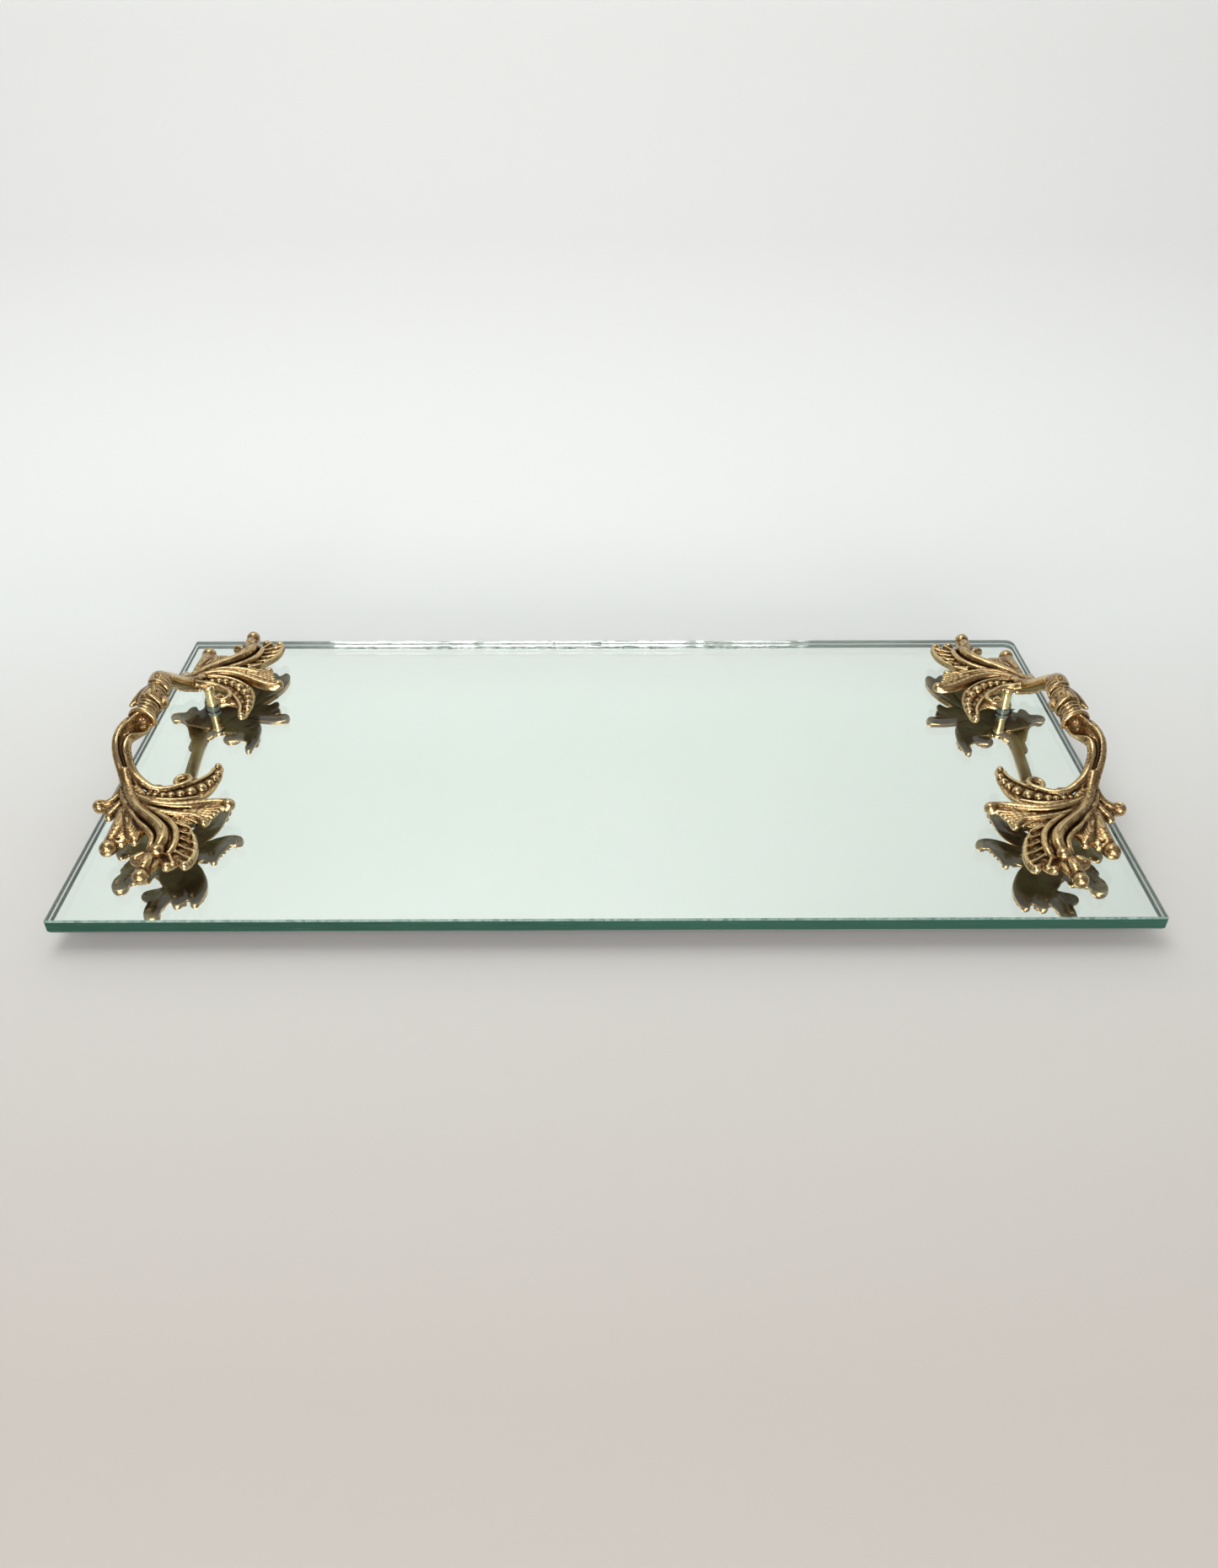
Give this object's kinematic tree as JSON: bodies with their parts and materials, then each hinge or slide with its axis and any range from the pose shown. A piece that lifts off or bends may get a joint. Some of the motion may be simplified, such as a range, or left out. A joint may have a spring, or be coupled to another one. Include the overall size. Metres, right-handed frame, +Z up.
{
  "type": "mirrored vanity tray",
  "caption": "Rectangular mirrored glass tray with a cast brass leaf-scroll pull bolted across each short end, standing on round bumpers.",
  "frame": {"origin": "on the surface the tray stands on, under the middle of the plate", "axes": "+X along the tray's length to the right, +Y across its depth to the back, +Z up out of the mirror"},
  "size_m": [0.4585, 0.2286, 0.0528],
  "materials": {
    "glass": "clear float glass, deep green seen through its edge",
    "silvering": "bright silvering seen through the glass, grey paint behind",
    "antique_brass": "cast, brown in the hollows and rubbed bright on the high points",
    "bright_brass": "turned and polished",
    "steel": "zinc plated",
    "fibre": "pressed red fibre",
    "rubber": "soft grey, satin"
  },
  "bodies": {
    "root": {"mirror_glass": "glass", "silver_backing": "silvering", "handle_left": "antique_brass", "handle_right": "antique_brass", "post_left_front": "bright_brass", "post_left_back": "bright_brass", "post_right_front": "bright_brass", "post_right_back": "bright_brass", "screw_left_front": "steel", "screw_left_back": "steel", "screw_right_front": "steel", "screw_right_back": "steel", "washer_left_front": "steel", "washer_left_back": "steel", "washer_right_front": "steel", "washer_right_back": "steel", "fibre_washer_left_front": "fibre", "fibre_washer_left_back": "fibre", "fibre_washer_right_front": "fibre", "fibre_washer_right_back": "fibre", "foot_left_front": "rubber", "foot_left_back": "rubber", "foot_right_front": "rubber", "foot_right_back": "rubber"}
  },
  "joints": []
}
